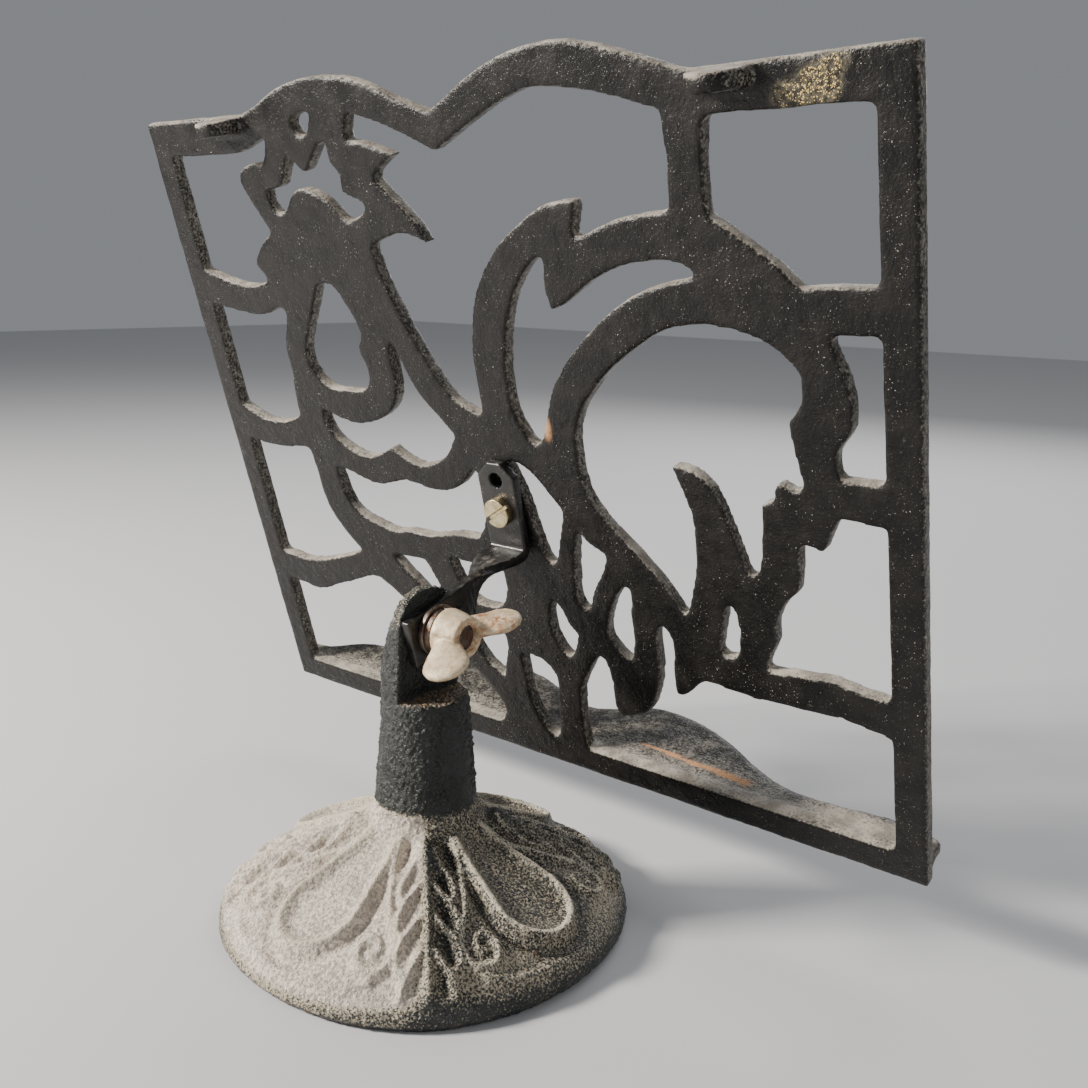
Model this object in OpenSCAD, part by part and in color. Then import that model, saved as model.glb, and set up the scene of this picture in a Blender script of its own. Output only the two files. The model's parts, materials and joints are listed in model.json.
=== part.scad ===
// Cast-iron cookbook stand: an openwork back plate with a rooster in a window-pane border,
// tilting on a single cast pedestal. The plate leans back towards +Y and the reader sits at -Y.
// The origin is the centre of the pedestal's foot, on the surface that it stands on.

/* [Back plate] */
// Width of the back plate
plate_w = 267; // [220:1:330]
// Height of the back plate at its corners
plate_h = 220; // [180:1:270]
// Thickness of the casting
plate_t = 4.5; // [3.5:0.1:6]
// Width of the border's side bars
side_bar = 9.5; // [6:0.5:14]
// Height of the border's bottom bar
bottom_bar = 9.5; // [7:0.5:14]
// Angle that the plate leans back at rest
lean = 16; // [5:1:25]

/* [Book ledge] */
// Thickness of the ledge
ledge_t = 4; // [3:0.1:6]
// Reach of the ledge in front of the plate's back face, at its two lobes
ledge_reach = 32; // [24:1:45]
// Drop from the top of the bottom bar to the top of the ledge
ledge_step = 0.5; // [0.2:0.1:2]

/* [Lugs] */
// Width of the two lugs on the back of the top bar
lug_w = 14.5; // [8:0.5:18]
// How far the lugs stand out of the back face
lug_out = 11; // [8:0.5:14]
// Thickness of the lugs
lug_t = 4.5; // [3:0.1:6]
// Distance from each side of the plate to the middle of its lug
lug_inset = 44; // [30:1:60]

/* [Strap] */
// Width of the strap
strap_w = 14.5; // [12:0.5:18]
// Thickness of the strap
strap_t = 3; // [2:0.1:4]
// Length of the strap's flat part, up the back of the plate
strap_up = 29; // [26:0.5:40]
// Distance from the pivot to the plate's back face
reach = 46; // [40:1:60]
// Length of the strap beyond the pivot
strap_end = 10; // [8:0.5:11]
// Length of the strap's flat shelf between its bend and its twist
shelf_l = 2; // [0.5:0.5:4]
// How far the strap arches upwards as it turns
strap_rise = 1.6; // [0:0.1:3]

/* [Screw] */
// Diameter of the screw's thread
screw_d = 4.8; // [4:0.1:6]
// Diameter of the screw's head
screw_head_d = 9.5; // [8:0.1:12]
// Height of the screw's head
screw_head_h = 2.6; // [2:0.1:4]
// Diameter of the spare hole at the top of the strap
spare_d = 4.9; // [4:0.1:6]

/* [Pivot] */
// Height of the pivot above the floor
pivot_z = 90.5; // [84:0.5:110]
// Diameter of the pivot bolt
bolt_d = 7.9; // [6:0.1:9]
// Place of the plate's middle, across the neck
plate_cx = 3; // [0:0.5:6]
// Running clearance on the bolt's radius
bolt_fit = 0.06; // [0.02:0.01:0.1]
// Gap between faces that slide on each other
face_gap = 0.12; // [0.05:0.01:0.3]
// Outer diameter of the flat washer
washer_d = 15.5; // [14:0.5:20]
// Thickness of the flat washer
washer_t = 1.6; // [1:0.1:2.5]
// Outer diameter of the lock washer
lock_d = 14; // [12:0.5:18]
// Thickness of the lock washer
lock_t = 2; // [1.5:0.1:3]
// Across the flats of the bolt's square head
bolt_head_w = 10; // [9:0.5:12]
// Height of the bolt's head
bolt_head_h = 3; // [2.5:0.5:5]

/* [Wing nut] */
// Span of the wings
nut_span = 37; // [28:1:38]
// Height of the wings above the nut's seat
nut_h = 17; // [16:0.5:22]
// Diameter of the nut's hub at its seat
nut_hub_d = 15; // [13:0.5:18]
// Length of the nut's hub
nut_hub_l = 8; // [7:0.5:12]
// Thickness of the wings
wing_t = 4.4; // [3:0.1:5]
// Angle that the wings stand at
wing_angle = 72; // [0:5:355]

/* [Pedestal] */
// Radius of the pedestal's foot
base_r = 62; // [54:1:80]
// Height of the dome, up to the neck
dome_h = 29; // [22:1:34]
// Wall of the hollow dome and neck
base_wall = 5; // [4:0.5:7]
// Radius of the neck at its foot
neck_foot_r = 15.5; // [14:0.5:20]
// Radius of the neck at its shoulder
neck_top_r = 12.7; // [11:0.1:14]
// Height of the shoulder above the floor
shoulder_z = 70.5; // [60:0.5:72]
// Thickness of the pivot ear at its middle
ear_t = 9.5; // [8:0.5:12]
// Thickness of the ear at its rim
ear_rim = 2.4; // [1.5:0.1:4]
// Depth of iron between the ear's inner face and the bolt's head
seat_t = 4.5; // [4:0.5:6]
// Place of the ear's flat inner face, across the neck
ear_x = -1.3; // [-2:0.1:1]
// Radius of the ear's round top
ear_r = 12; // [10:0.5:14]

/* [Hidden] */
$fn = 48;
cast = "#2b2a28";

// The plate's drawing is laid out on a sheet of this size, seen from the back, with its origin at
// the lower left corner. It stretches with plate_w and plate_h.
sheet_w = 267;
sheet_h = 220;
sx = plate_w / sheet_w;
sy = plate_h / sheet_h;
// Straight pieces that a curve is drawn with, between two of its points
curve_steps = 2;
// Marks a point where a curve has a corner
C = 1;
// Overlap that makes cast-on features one solid with the plate
bond = 0.5;

// Bore of everything that turns on the bolt
bore_r = bolt_d / 2 + bolt_fit;
// The stack on the bolt, from the ear's inner face outwards
tongue_x = ear_x - face_gap - strap_t;
washer_x = tongue_x - face_gap - washer_t;
lock_x = washer_x - lock_t;
nut_x = lock_x - face_gap;
// Heights of the pivot, bend, screw and spare hole on the plate
pivot_v = 80 * sy;
bend_v = pivot_v + 1.5;
strap_top_v = bend_v + strap_up + strap_t;
screw_v = strap_top_v - 16;
spare_v = strap_top_v - 5.7;
strap_chamfer = 4.5;
strap_bend_r = 1.5;
// The quarter turn takes up what is left between the shelf and the ear
twist_l = reach - ear_r - 0.5 - strap_t - strap_bend_r - shelf_l;

// ---- Curves ----

function unit(v) = v / max(norm(v), 0.001);
function xy(p) = [p[0], p[1]];
function is_corner(p) = len(p) > 2;
// Direction of a smooth curve at point b, between its neighbours a and c
function heading(a, b, c) = unit(xy(c) - xy(a));
function hermite(p, q, m, n, t) = (2 * t * t * t - 3 * t * t + 1) * p
    + (t * t * t - 2 * t * t + t) * m + (3 * t * t - 2 * t * t * t) * q + (t * t * t - t * t) * n;
// One stretch of a curve, from q to r, with p before it and s after it
function stretch(p, q, r, s) = let(
        a = xy(q), b = xy(r), l = norm(b - a),
        m = is_corner(q) ? b - a : l * heading(p, q, r),
        n = is_corner(r) ? b - a : l * heading(q, r, s))
    [for (i = [0 : curve_steps - 1]) hermite(a, b, m, n, i / curve_steps)];
// A closed outline through all points, smooth except at its corners
function closed_curve(pts) = let(n = len(pts))
    [for (i = [0 : n - 1])
        each stretch(pts[(i + n - 1) % n], pts[i], pts[(i + 1) % n], pts[(i + 2) % n])];
// An open curve through all points
function open_curve(pts) = let(n = len(pts))
    [for (i = [0 : n - 2])
        each stretch(pts[max(i - 1, 0)], pts[i], pts[i + 1], pts[min(i + 2, n - 1)]),
     xy(pts[n - 1])];

// ---- Drawing of the plate ----

// Top edge, from the left corner to the right one: two arches like the pages of an open book
top_edge = [[0, 220, C], [50, 219.5, C], [60, 222.3], [70, 226], [80, 227.7], [88, 228],
    [100, 226.7], [110, 223.7], [118, 220], [130.5, 215.5, C], [140, 220], [150, 224.7],
    [165, 228.5], [180, 228.7], [197, 224.2], [209, 220], [213, 219.3, C], [267, 220.5, C]];

// Window panes of the border, down the left side
pane_left_top = [[5, 209, C], [38, 208], [48, 209], [60, 213, C], [58, 208], [55.5, 204.5, C],
    [51, 205], [46, 204], [42.5, 201], [43, 197], [51.5, 183, C], [45, 179.5], [41, 175.5],
    [39.5, 172], [43.5, 168.5], [41.5, 166.5], [34, 165.5], [24, 166.5], [5, 172, C]];
pane_left_upper = [[5, 159.5, C], [15, 157.5], [24, 156], [33, 155], [40, 156], [48, 158],
    [47, 152], [44.5, 146], [43.5, 141], [44, 136], [42.5, 128], [42, 119, C], [35, 116.5],
    [27, 115.5], [19, 116.5], [5, 123, C]];
pane_left_lower = [[5, 108, C], [16, 106], [24, 105.5], [33, 106], [41, 107], [43, 105],
    [44.5, 87], [48, 79], [58, 68, C], [50, 65], [34, 60], [26, 58.5], [18, 58.5], [5, 60.5, C]];
pane_left_bottom = [[5, 47.5, C], [16, 47], [23, 46], [30, 46.5], [37, 49.5], [47, 53],
    [57, 57], [64, 58], [74, 52], [84, 43], [94, 35], [104, 29.5], [113, 20], [115, 14.5],
    [110, 8], [100, 5, C], [5, 5, C]];

// Panes down the right side and along the foot
pane_right_top = [[216, 209, C], [225, 209.5], [235, 209], [245, 209.5], [262, 209, C],
    [262, 170, C], [247, 170], [238, 169.5, C], [234, 173.5], [229.5, 177], [219, 184],
    [215, 186.5, C], [215, 198]];
pane_right_upper = [[245.5, 158.5, C], [262, 158.5, C], [262, 122, C], [246, 122, C],
    [245, 127], [246, 130], [249.5, 135], [250, 141], [248.5, 149], [245.5, 156]];
pane_right_lower = [[245, 111, C], [262, 110.5, C], [262, 59, C], [250, 60], [242, 61.5],
    [232, 61], [220.5, 59.5, C], [222.5, 64.5], [225, 70], [225.5, 77], [229, 84], [232.5, 87.5],
    [233.5, 95], [233.5, 101.5, C], [236, 102], [240.5, 100.5, C], [242.5, 105.5]];
pane_right_bottom = [[150, 5, C], [262, 5, C], [262, 47, C], [250, 49], [243, 50], [230, 49.5],
    [216, 49], [206, 50], [199.5, 50], [195, 45.5], [190.5, 42.5], [189, 45.5], [189.5, 53],
    [190, 62], [187.5, 66.5], [185, 64], [184.5, 56], [183.5, 46], [180, 36], [176, 31.5],
    [166.5, 27.5, C], [165, 31], [165, 40], [163.5, 48], [161, 49], [156, 42], [151.5, 34],
    [150.5, 22]];
pane_foot_middle = [[128, 42, C], [136, 42], [141.5, 36.5], [141, 29], [140, 20], [139, 13],
    [136.5, 10.5], [133, 13.5], [130, 20], [128.5, 27], [128, 34]];
pane_foot_left = [[106, 43.5, C], [111, 47.5], [122, 48, C], [121.5, 42], [119, 35],
    [118, 29.5, C], [112, 33.5], [108, 39]];

// Gaps inside and around the bird
gap_above_beak = [[98.5, 217.5, C], [96, 211], [96.5, 209.5, C], [103.5, 208.5], [114, 205, C],
    [109, 202.5], [103.5, 199, C], [111.5, 191.5], [118, 185], [120.5, 180, C], [115, 182],
    [109, 182.5], [102.5, 181], [97, 179, C], [98.5, 171], [103, 159], [108.5, 147.5],
    [114, 138.5], [119.5, 131.5], [130, 127.5, C], [130.5, 134], [130, 144], [132.5, 156],
    [137, 167], [146, 178], [156, 185], [166, 190], [176.5, 191, C], [175.5, 187.5],
    [173.5, 181, C], [178, 182], [187, 185.5], [204.5, 188, C], [205, 200], [204.5, 211, C],
    [186, 216.5], [168, 219], [160, 217.5], [150, 214], [130.5, 205, C], [121, 209.5],
    [111, 213.5]];
gap_comb = [[54, 197, C], [60, 197], [62.5, 198], [65, 202], [68, 206.5, C], [70.5, 204.5],
    [74.5, 201.5], [77.5, 203.5], [83, 209], [87, 210, C], [87, 203.5], [90, 200], [89.5, 195.5],
    [92, 194], [98, 191.5], [97, 189], [90, 186.5, C], [87, 187.5], [81, 193], [73, 196.5],
    [66.5, 195.5], [62.5, 191, C], [58, 189], [55, 192]];
gap_comb_tip = [[73.5, 216.5], [76, 218], [82.5, 219, C], [80, 213], [76, 212], [74, 214.5]];
gap_neck_drop = [[68, 166.5, C], [75, 166.5], [79.5, 160], [83.5, 151], [80.5, 145.5],
    [83, 139.5], [81.5, 133.5], [77, 131], [70, 131], [63, 131], [57, 135], [54, 142],
    [58.5, 151], [64, 160]];
gap_neck = [[96.5, 150, C], [95, 145], [95, 136], [94, 131], [90, 125.5], [83, 121.5],
    [73, 119], [64, 120], [55, 123, C], [55.5, 118], [59, 112.5], [66, 108.5], [74.5, 107],
    [86, 112, C], [91, 109], [98.5, 107], [105.5, 109], [111.5, 112.5], [116.5, 119.5, C],
    [110, 126], [103.5, 133.5], [100.5, 140]];
gap_breast = [[55.5, 101.5, C], [63, 100], [71, 97.5], [77, 97], [89.5, 100.5], [102, 98.5],
    [109, 99.5], [115.5, 102.5], [122, 109, C], [125, 104], [124, 95], [121.5, 88, C],
    [118.5, 84, C], [108, 83.5], [94, 80.5], [86, 81], [78, 79.5], [71, 81], [62.5, 83.5],
    [58, 87.5], [56, 94]];
gap_belly_left = [[73.5, 70, C], [82, 70], [90, 70.5, C], [92.5, 66], [97, 56.5, C], [91, 55.5],
    [84, 60]];
gap_belly = [[102.5, 74, C], [115, 73.5], [126, 74, C], [126.5, 67], [123.5, 60], [119, 58],
    [111, 58.5], [106, 64]];
gap_back = [[136.5, 113.5, C], [143, 112.5], [149, 107], [155.5, 99.5, C], [154.5, 95],
    [152, 87], [150, 81], [148, 80], [146, 82], [143.5, 91], [142, 99], [140, 105.5]];
gap_leg = [[146, 67, C], [149, 63], [151, 58.5], [154, 55.5, C], [150.5, 47], [148, 46],
    [145, 50.5], [143.5, 56], [144, 62]];
gap_tail_inner = [[165, 119, C], [165, 124], [168, 132], [173, 138.5], [180, 145.5],
    [190, 152.5], [200, 158], [212, 159.5], [222, 158], [230, 155], [236.5, 148.5, C],
    [236.5, 141], [232.5, 135.5, C], [233.5, 130.5], [236, 118, C], [232.5, 117], [230, 118.5],
    [228, 118], [227.5, 113.5, C], [223.5, 112, C], [223, 103], [222, 95], [219, 89], [216.5, 94],
    [213, 104.5], [209, 114], [203, 119], [196.5, 119.5, C], [201.5, 106], [202, 98], [201, 88],
    [196, 71, C], [190, 80], [180, 90.5], [172.5, 97.5], [167, 104], [165, 111]];
gap_tail_outer = [[162.5, 177, C], [157.5, 174], [151, 166.5], [146.5, 157.5], [143.5, 147],
    [142.5, 137], [143, 130], [146, 123.5], [149.5, 120], [153, 123], [156, 131.5], [160, 140],
    [168.5, 150], [179, 159], [190, 166], [200, 169.5], [211.5, 171.5, C], [206, 175],
    [198, 175.5], [188, 174], [178, 170], [168, 163.5], [163, 161.5, C], [162, 166]];
gap_tail_root = [[210.5, 80.5, C], [212.5, 77], [213.5, 71], [213, 65.5], [212, 61.5, C],
    [206, 61, C], [207.5, 68]];
gap_thigh = [[160, 94.5, C], [163.5, 90], [170, 87, C], [167.5, 80.5], [163, 73.5], [161, 68],
    [159, 65.5], [156.5, 67.5], [156.5, 75], [158, 85]];
gap_spur = [[173.5, 76], [175.5, 77.5], [177, 75.5], [176, 68], [176, 60], [174.5, 51.5, C],
    [172, 51], [168, 55], [166, 59], [170, 71]];

openings = [pane_left_top, pane_left_upper, pane_left_lower, pane_left_bottom, pane_right_top,
    pane_right_upper, pane_right_lower, pane_right_bottom, pane_foot_middle, pane_foot_left,
    gap_above_beak, gap_comb, gap_comb_tip, gap_neck_drop, gap_neck, gap_breast, gap_belly_left,
    gap_belly, gap_back, gap_leg, gap_tail_inner, gap_tail_outer, gap_tail_root, gap_thigh,
    gap_spur];

// Front edge of the ledge as [place along the plate, reach as a share of ledge_reach]
ledge_edge = [[0, 0.33, C], [8, 0.36], [16, 0.52], [25, 0.65], [36, 0.68], [58, 0.76],
    [78, 0.92], [96, 1], [110, 0.95], [122, 0.8], [133, 0.69], [144, 0.79], [155, 0.98],
    [166, 1], [178, 0.94], [190, 0.8], [202, 0.6], [212, 0.45], [222, 0.38], [236, 0.38],
    [249, 0.43], [259, 0.4], [267, 0.33, C]];

// A place along the drawing, as a place along X
function plate_x(u) = (sheet_w / 2 - u) * sx + plate_cx;
function on_plate(pts) = [for (p = pts) [plate_x(p[0]), p[1] * sy]];

// Moves the plate's own frame, with its back face at y = 0 and its foot at z = 0, to its lean
module leaning() translate([0, 0, pivot_z]) rotate([-lean, 0, 0])
    translate([0, -reach, -pivot_v]) children();
// Draws a flat shape in the plate's own frame, from the back face towards the reader
module cast_flat(t) rotate([90, 0, 0]) linear_extrude(t) children();

module plate_outline() polygon(concat(on_plate(open_curve(top_edge)),
    [[plate_x(sheet_w), 0], [plate_x(0), 0]]));
// The openings stop at the border's bars
module pane_field() translate([plate_x(sheet_w) + side_bar, bottom_bar])
    square([plate_w - 2 * side_bar, plate_h * 1.2]);

module lug(u) translate([u, 0, plate_h - lug_t - 0.8]) linear_extrude(lug_t) difference() {
    union() {
        translate([-lug_w / 2, -bond]) square([lug_w, lug_out - lug_w / 2 + bond]);
        translate([0, lug_out - lug_w / 2]) circle(lug_w / 2);
    }
    translate([-lug_w, -lug_w - bond]) square([2 * lug_w, lug_w]);
}
module ledge() translate([0, 0, bottom_bar - ledge_step - ledge_t]) linear_extrude(ledge_t)
    polygon(concat([for (p = open_curve(ledge_edge)) [plate_x(p[0]), -p[1] * ledge_reach]],
        [[plate_x(sheet_w), bond - plate_t], [plate_x(0), bond - plate_t]]));

module back_plate() color(cast) leaning() difference() {
    union() {
        cast_flat(plate_t) difference() {
            plate_outline();
            intersection() {
                pane_field();
                for (gap = openings) polygon(on_plate(closed_curve(gap)));
            }
        }
        ledge();
        lug(plate_x(lug_inset / sx));
        lug(plate_x(sheet_w - lug_inset / sx));
    }
    translate([plate_cx, 1, screw_v]) rotate([90, 0, 0]) cylinder(d = screw_d, h = plate_t + 2);
}

// ---- Strap ----

// A cross-section of the strap, turned by a about its edge on the -X side. The edge's upper
// corner is at x and v, at distance y from the back face.
function strap_section(a, x, y, v) = [for (c = [[0, 1], [0, 0], [1, 0], [1, 1]])
    let(w = c[0] * strap_w, t = c[1] * strap_t)
    [x + w * cos(a) - t * sin(a), y, v - w * sin(a) - t * cos(a)]];
twist_steps = 14;
twist_y = strap_t + strap_bend_r + shelf_l;
shelf_top_v = bend_v + strap_t;
tongue_top_v = pivot_v + strap_w / 2;
strap_edge_x = plate_cx - strap_w / 2;
function eased(t) = (1 - cos(180 * t)) / 2;
function between(a, b, t) = a + (b - a) * t;
function twist_points() = [for (i = [0 : twist_steps]) let(t = i / twist_steps, e = eased(t))
    each strap_section(90 * e, between(strap_edge_x, tongue_x + strap_t, e),
        twist_y + twist_l * t, between(shelf_top_v, tongue_top_v, e) + strap_rise * sin(180 * t))];
function twist_faces() = [
    [0, 1, 2, 3],
    [for (k = [3 : -1 : 0]) 4 * twist_steps + k],
    for (i = [0 : twist_steps - 1], k = [0 : 3]) let(n = (k + 1) % 4)
        [4 * i + k, 4 * i + 4 + n, 4 * i + n],
    for (i = [0 : twist_steps - 1], k = [0 : 3]) let(n = (k + 1) % 4)
        [4 * i + k, 4 * i + 4 + k, 4 * i + 4 + n]];

module strap_flat() rotate([90, 0, 0]) translate([0, 0, -strap_t]) linear_extrude(strap_t)
    polygon([[plate_cx - strap_w / 2, bend_v + strap_t + strap_bend_r],
        [plate_cx + strap_w / 2, bend_v + strap_t + strap_bend_r],
        [plate_cx + strap_w / 2, strap_top_v - strap_chamfer],
        [plate_cx + strap_w / 2 - strap_chamfer, strap_top_v],
        [plate_cx - strap_w / 2 + strap_chamfer, strap_top_v],
        [plate_cx - strap_w / 2, strap_top_v - strap_chamfer]]);
// The bend, as a quarter of a ring, and the shelf behind it
module strap_bend() translate([plate_cx - strap_w / 2, 0, 0]) rotate([90, 0, 90])
    linear_extrude(strap_w) translate([strap_t + strap_bend_r, bend_v + strap_t + strap_bend_r]) {
        intersection() {
            difference() {
                circle(strap_t + strap_bend_r);
                circle(strap_bend_r);
            }
            translate([-strap_t - strap_bend_r, -strap_t - strap_bend_r])
                square(strap_t + strap_bend_r);
        }
        translate([0, -strap_t - strap_bend_r]) square([shelf_l, strap_t]);
    }
module strap_tongue() translate([tongue_x, twist_y + twist_l, pivot_v - strap_w / 2])
    cube([strap_t, reach + strap_end - twist_y - twist_l, strap_w]);

module tilt_strap() color("#1d1c1b") leaning() difference() {
    union() {
        strap_flat();
        strap_bend();
        polyhedron(twist_points(), twist_faces());
        strap_tongue();
    }
    translate([plate_cx, strap_t + 1, screw_v]) rotate([90, 0, 0])
        cylinder(d = screw_d, h = strap_t + 2);
    translate([plate_cx, strap_t + 1, spare_v]) rotate([90, 0, 0])
        cylinder(d = spare_d, h = strap_t + 2);
    translate([tongue_x - 1, reach, pivot_v]) rotate([0, 90, 0])
        cylinder(r = bore_r, h = strap_t + 2);
}

// ---- Fasteners ----

module strap_screw() color("#b59a5a") leaning() translate([plate_cx, strap_t, screw_v])
    rotate([-90, 0, 0]) difference() {
        union() {
            cylinder(d = screw_head_d, h = screw_head_h);
            translate([0, 0, -strap_t - plate_t])
                cylinder(d = screw_d - 2 * bolt_fit, h = strap_t + plate_t + 1);
        }
        rotate([0, 0, 33]) translate([-screw_head_d, -0.6, screw_head_h - 1.2])
            cube([2 * screw_head_d, 1.2, 2]);
    }

// The bolt's own frame: along +X, from the middle of the pivot
module on_pivot(x) translate([x, 0, pivot_z]) rotate([0, 90, 0]) children();
bolt_end_x = nut_x - nut_hub_l + 1;
module pivot_bolt() color("#5a5754") {
    on_pivot(bolt_end_x) cylinder(d = bolt_d, h = ear_x + seat_t - bolt_end_x + 0.5);
    on_pivot(ear_x + seat_t) translate([-bolt_head_w / 2, -bolt_head_w / 2, 0])
        cube([bolt_head_w, bolt_head_w, bolt_head_h]);
}
module ring(x, d, t) on_pivot(x) difference() {
    cylinder(d = d, h = t);
    translate([0, 0, -1]) cylinder(r = bore_r, h = t + 2);
}
module flat_washer() color("#8b8378") ring(washer_x, washer_d, washer_t);
// The lock washer is a ring with one cut
module lock_washer() color("#76706a") difference() {
    ring(lock_x, lock_d, lock_t);
    translate([lock_x - 1, -0.5, pivot_z + bolt_d / 2 - 0.5]) cube([lock_t + 2, 1, lock_d]);
}

// One wing of the nut as a flat outline: x outwards, y away from the seat
module wing_outline() {
    lobe_r = 6.8;
    lobe_x = nut_span / 2 - lobe_r;
    lobe_y = nut_h - lobe_r;
    translate([lobe_x, lobe_y]) circle(lobe_r);
    polygon([[2, 0.8], [nut_hub_d / 2 - 0.4, 0.8], [lobe_x + lobe_r * 0.8, lobe_y - lobe_r * 0.6],
        [lobe_x - lobe_r * 0.6, lobe_y + lobe_r * 0.8], [3, nut_hub_l - 1]]);
}
module wing_nut() color("#cfc6b4") translate([nut_x, 0, pivot_z]) rotate([wing_angle, 0, 0])
    rotate([0, -90, 0]) difference() {
        union() {
            cylinder(d1 = nut_hub_d, d2 = nut_hub_d - 3.5, h = nut_hub_l);
            for (side = [0, 180]) rotate([90, 0, side]) translate([0, 0, -wing_t / 2])
                linear_extrude(wing_t) wing_outline();
        }
        translate([0, 0, -1]) cylinder(r = bore_r, h = nut_h + 2);
    }

// ---- Pedestal ----

// Half section of the dome and neck, as [radius, height]
dome_edge = [[base_r - 1.5, 0, C], [base_r, 2], [base_r - 0.5, 5], [base_r - 3.5, 8.5],
    [base_r - 9, 0.43 * dome_h], [base_r - 17, 0.57 * dome_h], [base_r - 26, 0.72 * dome_h],
    [base_r - 34, 0.84 * dome_h], [neck_foot_r + 5, 0.95 * dome_h],
    [neck_foot_r + 1.2, dome_h + 2], [neck_foot_r - 0.3, dome_h + 7]];
function shrunk(pts, d) = [for (p = pts) [max(p[0] - d, 0), max(p[1] - d * 0.8, -1)]];
module neck_section(inset, top) polygon(concat(
    [[0, -1], [base_r - 1.5 - inset, -1]],
    open_curve(inset == 0 ? dome_edge : shrunk(dome_edge, inset)),
    [[neck_top_r - inset, top], [0, top]]));
core_top = shoulder_z - 6;
rib_r = 3;

// Central rib of each of the four leaves that run down the dome
module leaf_rib(a) rotate([0, 0, a]) hull() {
    translate([neck_foot_r + 2, 0, dome_h - rib_r + 1]) sphere(rib_r, $fn = 24);
    translate([base_r - 12, 0, 0.5 * dome_h - rib_r]) sphere(rib_r, $fn = 24);
}
// The ear is half of the neck carried up past the pivot. It is flat on the inside, and its outside
// falls away to a thin round rim.
ear_root_z = shoulder_z + 8;
module ear_root(z, h) intersection() {
    translate([0, 0, z]) cylinder(r = neck_top_r, h = h);
    translate([ear_x, -neck_top_r, z]) cube([neck_top_r - ear_x, 2 * neck_top_r, h]);
}
module ear() {
    ear_root(shoulder_z - bond, ear_root_z - shoulder_z + bond);
    hull() {
        ear_root(ear_root_z - 1, 1);
        on_pivot(ear_x) cylinder(r = ear_r, h = ear_rim);
        on_pivot(ear_x) cylinder(r1 = ear_r, r2 = ear_r / 3, h = ear_t);
    }
}
// The bolt's square head sits in a pocket, which keeps it from turning
module head_pocket() on_pivot(ear_x + seat_t)
    translate([-bolt_head_w / 2 - 0.15, -bolt_head_w / 2 - 0.15, 0])
        cube([bolt_head_w + 0.3, bolt_head_w + 0.3, neck_top_r]);
module pedestal() color(cast) difference() {
    union() {
        intersection() {
            rotate_extrude() neck_section(0, shoulder_z);
            cylinder(r = base_r + 1, h = shoulder_z);
        }
        for (a = [45, 135, 225, 315]) leaf_rib(a);
        ear();
    }
    rotate_extrude() neck_section(base_wall, core_top);
    on_pivot(ear_x - 1) cylinder(r = bore_r, h = ear_t + 2);
    head_pocket();
}

pedestal();
back_plate();
tilt_strap();
strap_screw();
pivot_bolt();
flat_washer();
lock_washer();
wing_nut();
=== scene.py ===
"""Looks of the cast-iron cookbook stand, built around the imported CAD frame. Lengths are in metres."""
import json
import math

import bmesh
import bpy
import numpy as np
from mathutils import Matrix, Vector, noise


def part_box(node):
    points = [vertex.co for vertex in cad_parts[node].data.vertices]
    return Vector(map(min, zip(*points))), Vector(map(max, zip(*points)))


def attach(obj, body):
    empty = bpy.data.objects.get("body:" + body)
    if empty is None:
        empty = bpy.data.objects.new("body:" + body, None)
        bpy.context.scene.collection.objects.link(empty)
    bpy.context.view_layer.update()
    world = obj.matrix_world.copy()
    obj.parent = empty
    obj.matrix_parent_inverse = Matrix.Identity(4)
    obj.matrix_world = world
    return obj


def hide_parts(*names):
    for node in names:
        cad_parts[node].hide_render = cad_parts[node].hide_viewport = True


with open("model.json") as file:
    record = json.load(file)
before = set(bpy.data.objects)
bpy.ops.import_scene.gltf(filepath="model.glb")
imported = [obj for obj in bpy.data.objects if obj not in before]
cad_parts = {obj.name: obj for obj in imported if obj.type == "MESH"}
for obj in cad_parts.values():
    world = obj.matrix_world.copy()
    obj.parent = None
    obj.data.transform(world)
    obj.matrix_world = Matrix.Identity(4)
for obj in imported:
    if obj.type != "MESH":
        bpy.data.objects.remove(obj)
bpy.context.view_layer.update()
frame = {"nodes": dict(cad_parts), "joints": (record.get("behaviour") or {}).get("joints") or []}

MM = 0.001
joints = {j["name"]: j for j in frame["joints"]}
PIVOT = Vector(joints["tilt"]["pos_m"])
LEAN = math.radians(16)
PLATE_X = 3.0 * MM          # the plate's middle
HALF_PLATE = 133.5 * MM     # half of the plate's width
EAR_X = -1.3 * MM           # the ear's flat inner face
BORE_R = 4.01 * MM          # bore for the pivot bolt

# ---------------------------------------------------------------- camera, light and floor


def make_camera():
    """The photograph's view: from behind and to one side, a little above, close to the object."""
    camera = bpy.data.objects.new("camera", bpy.data.cameras.new("camera"))
    bpy.context.scene.collection.objects.link(camera)
    heading, pitch, roll = math.radians(-141.65), math.radians(-13.25), math.radians(1.25)
    camera.matrix_world = (
        Matrix.Translation((-0.2257, 0.2305, 0.1916))
        @ Matrix.Rotation(heading, 4, "Z")
        @ Matrix.Rotation(math.radians(90) + pitch, 4, "X")
        @ Matrix.Rotation(roll, 4, "Z")
    )
    camera.data.sensor_width = 36
    camera.data.lens = 38.07
    camera.data.clip_start = 0.01
    bpy.context.scene.camera = camera


def area_light(name, place, target, size, power, colour=(1, 1, 1)):
    data = bpy.data.lights.new(name, "AREA")
    data.size = size
    data.energy = power
    data.color = colour
    light = bpy.data.objects.new(name, data)
    bpy.context.scene.collection.objects.link(light)
    light.location = place
    light.rotation_euler = (Vector(target) - Vector(place)).to_track_quat("-Z", "Y").to_euler()


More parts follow.
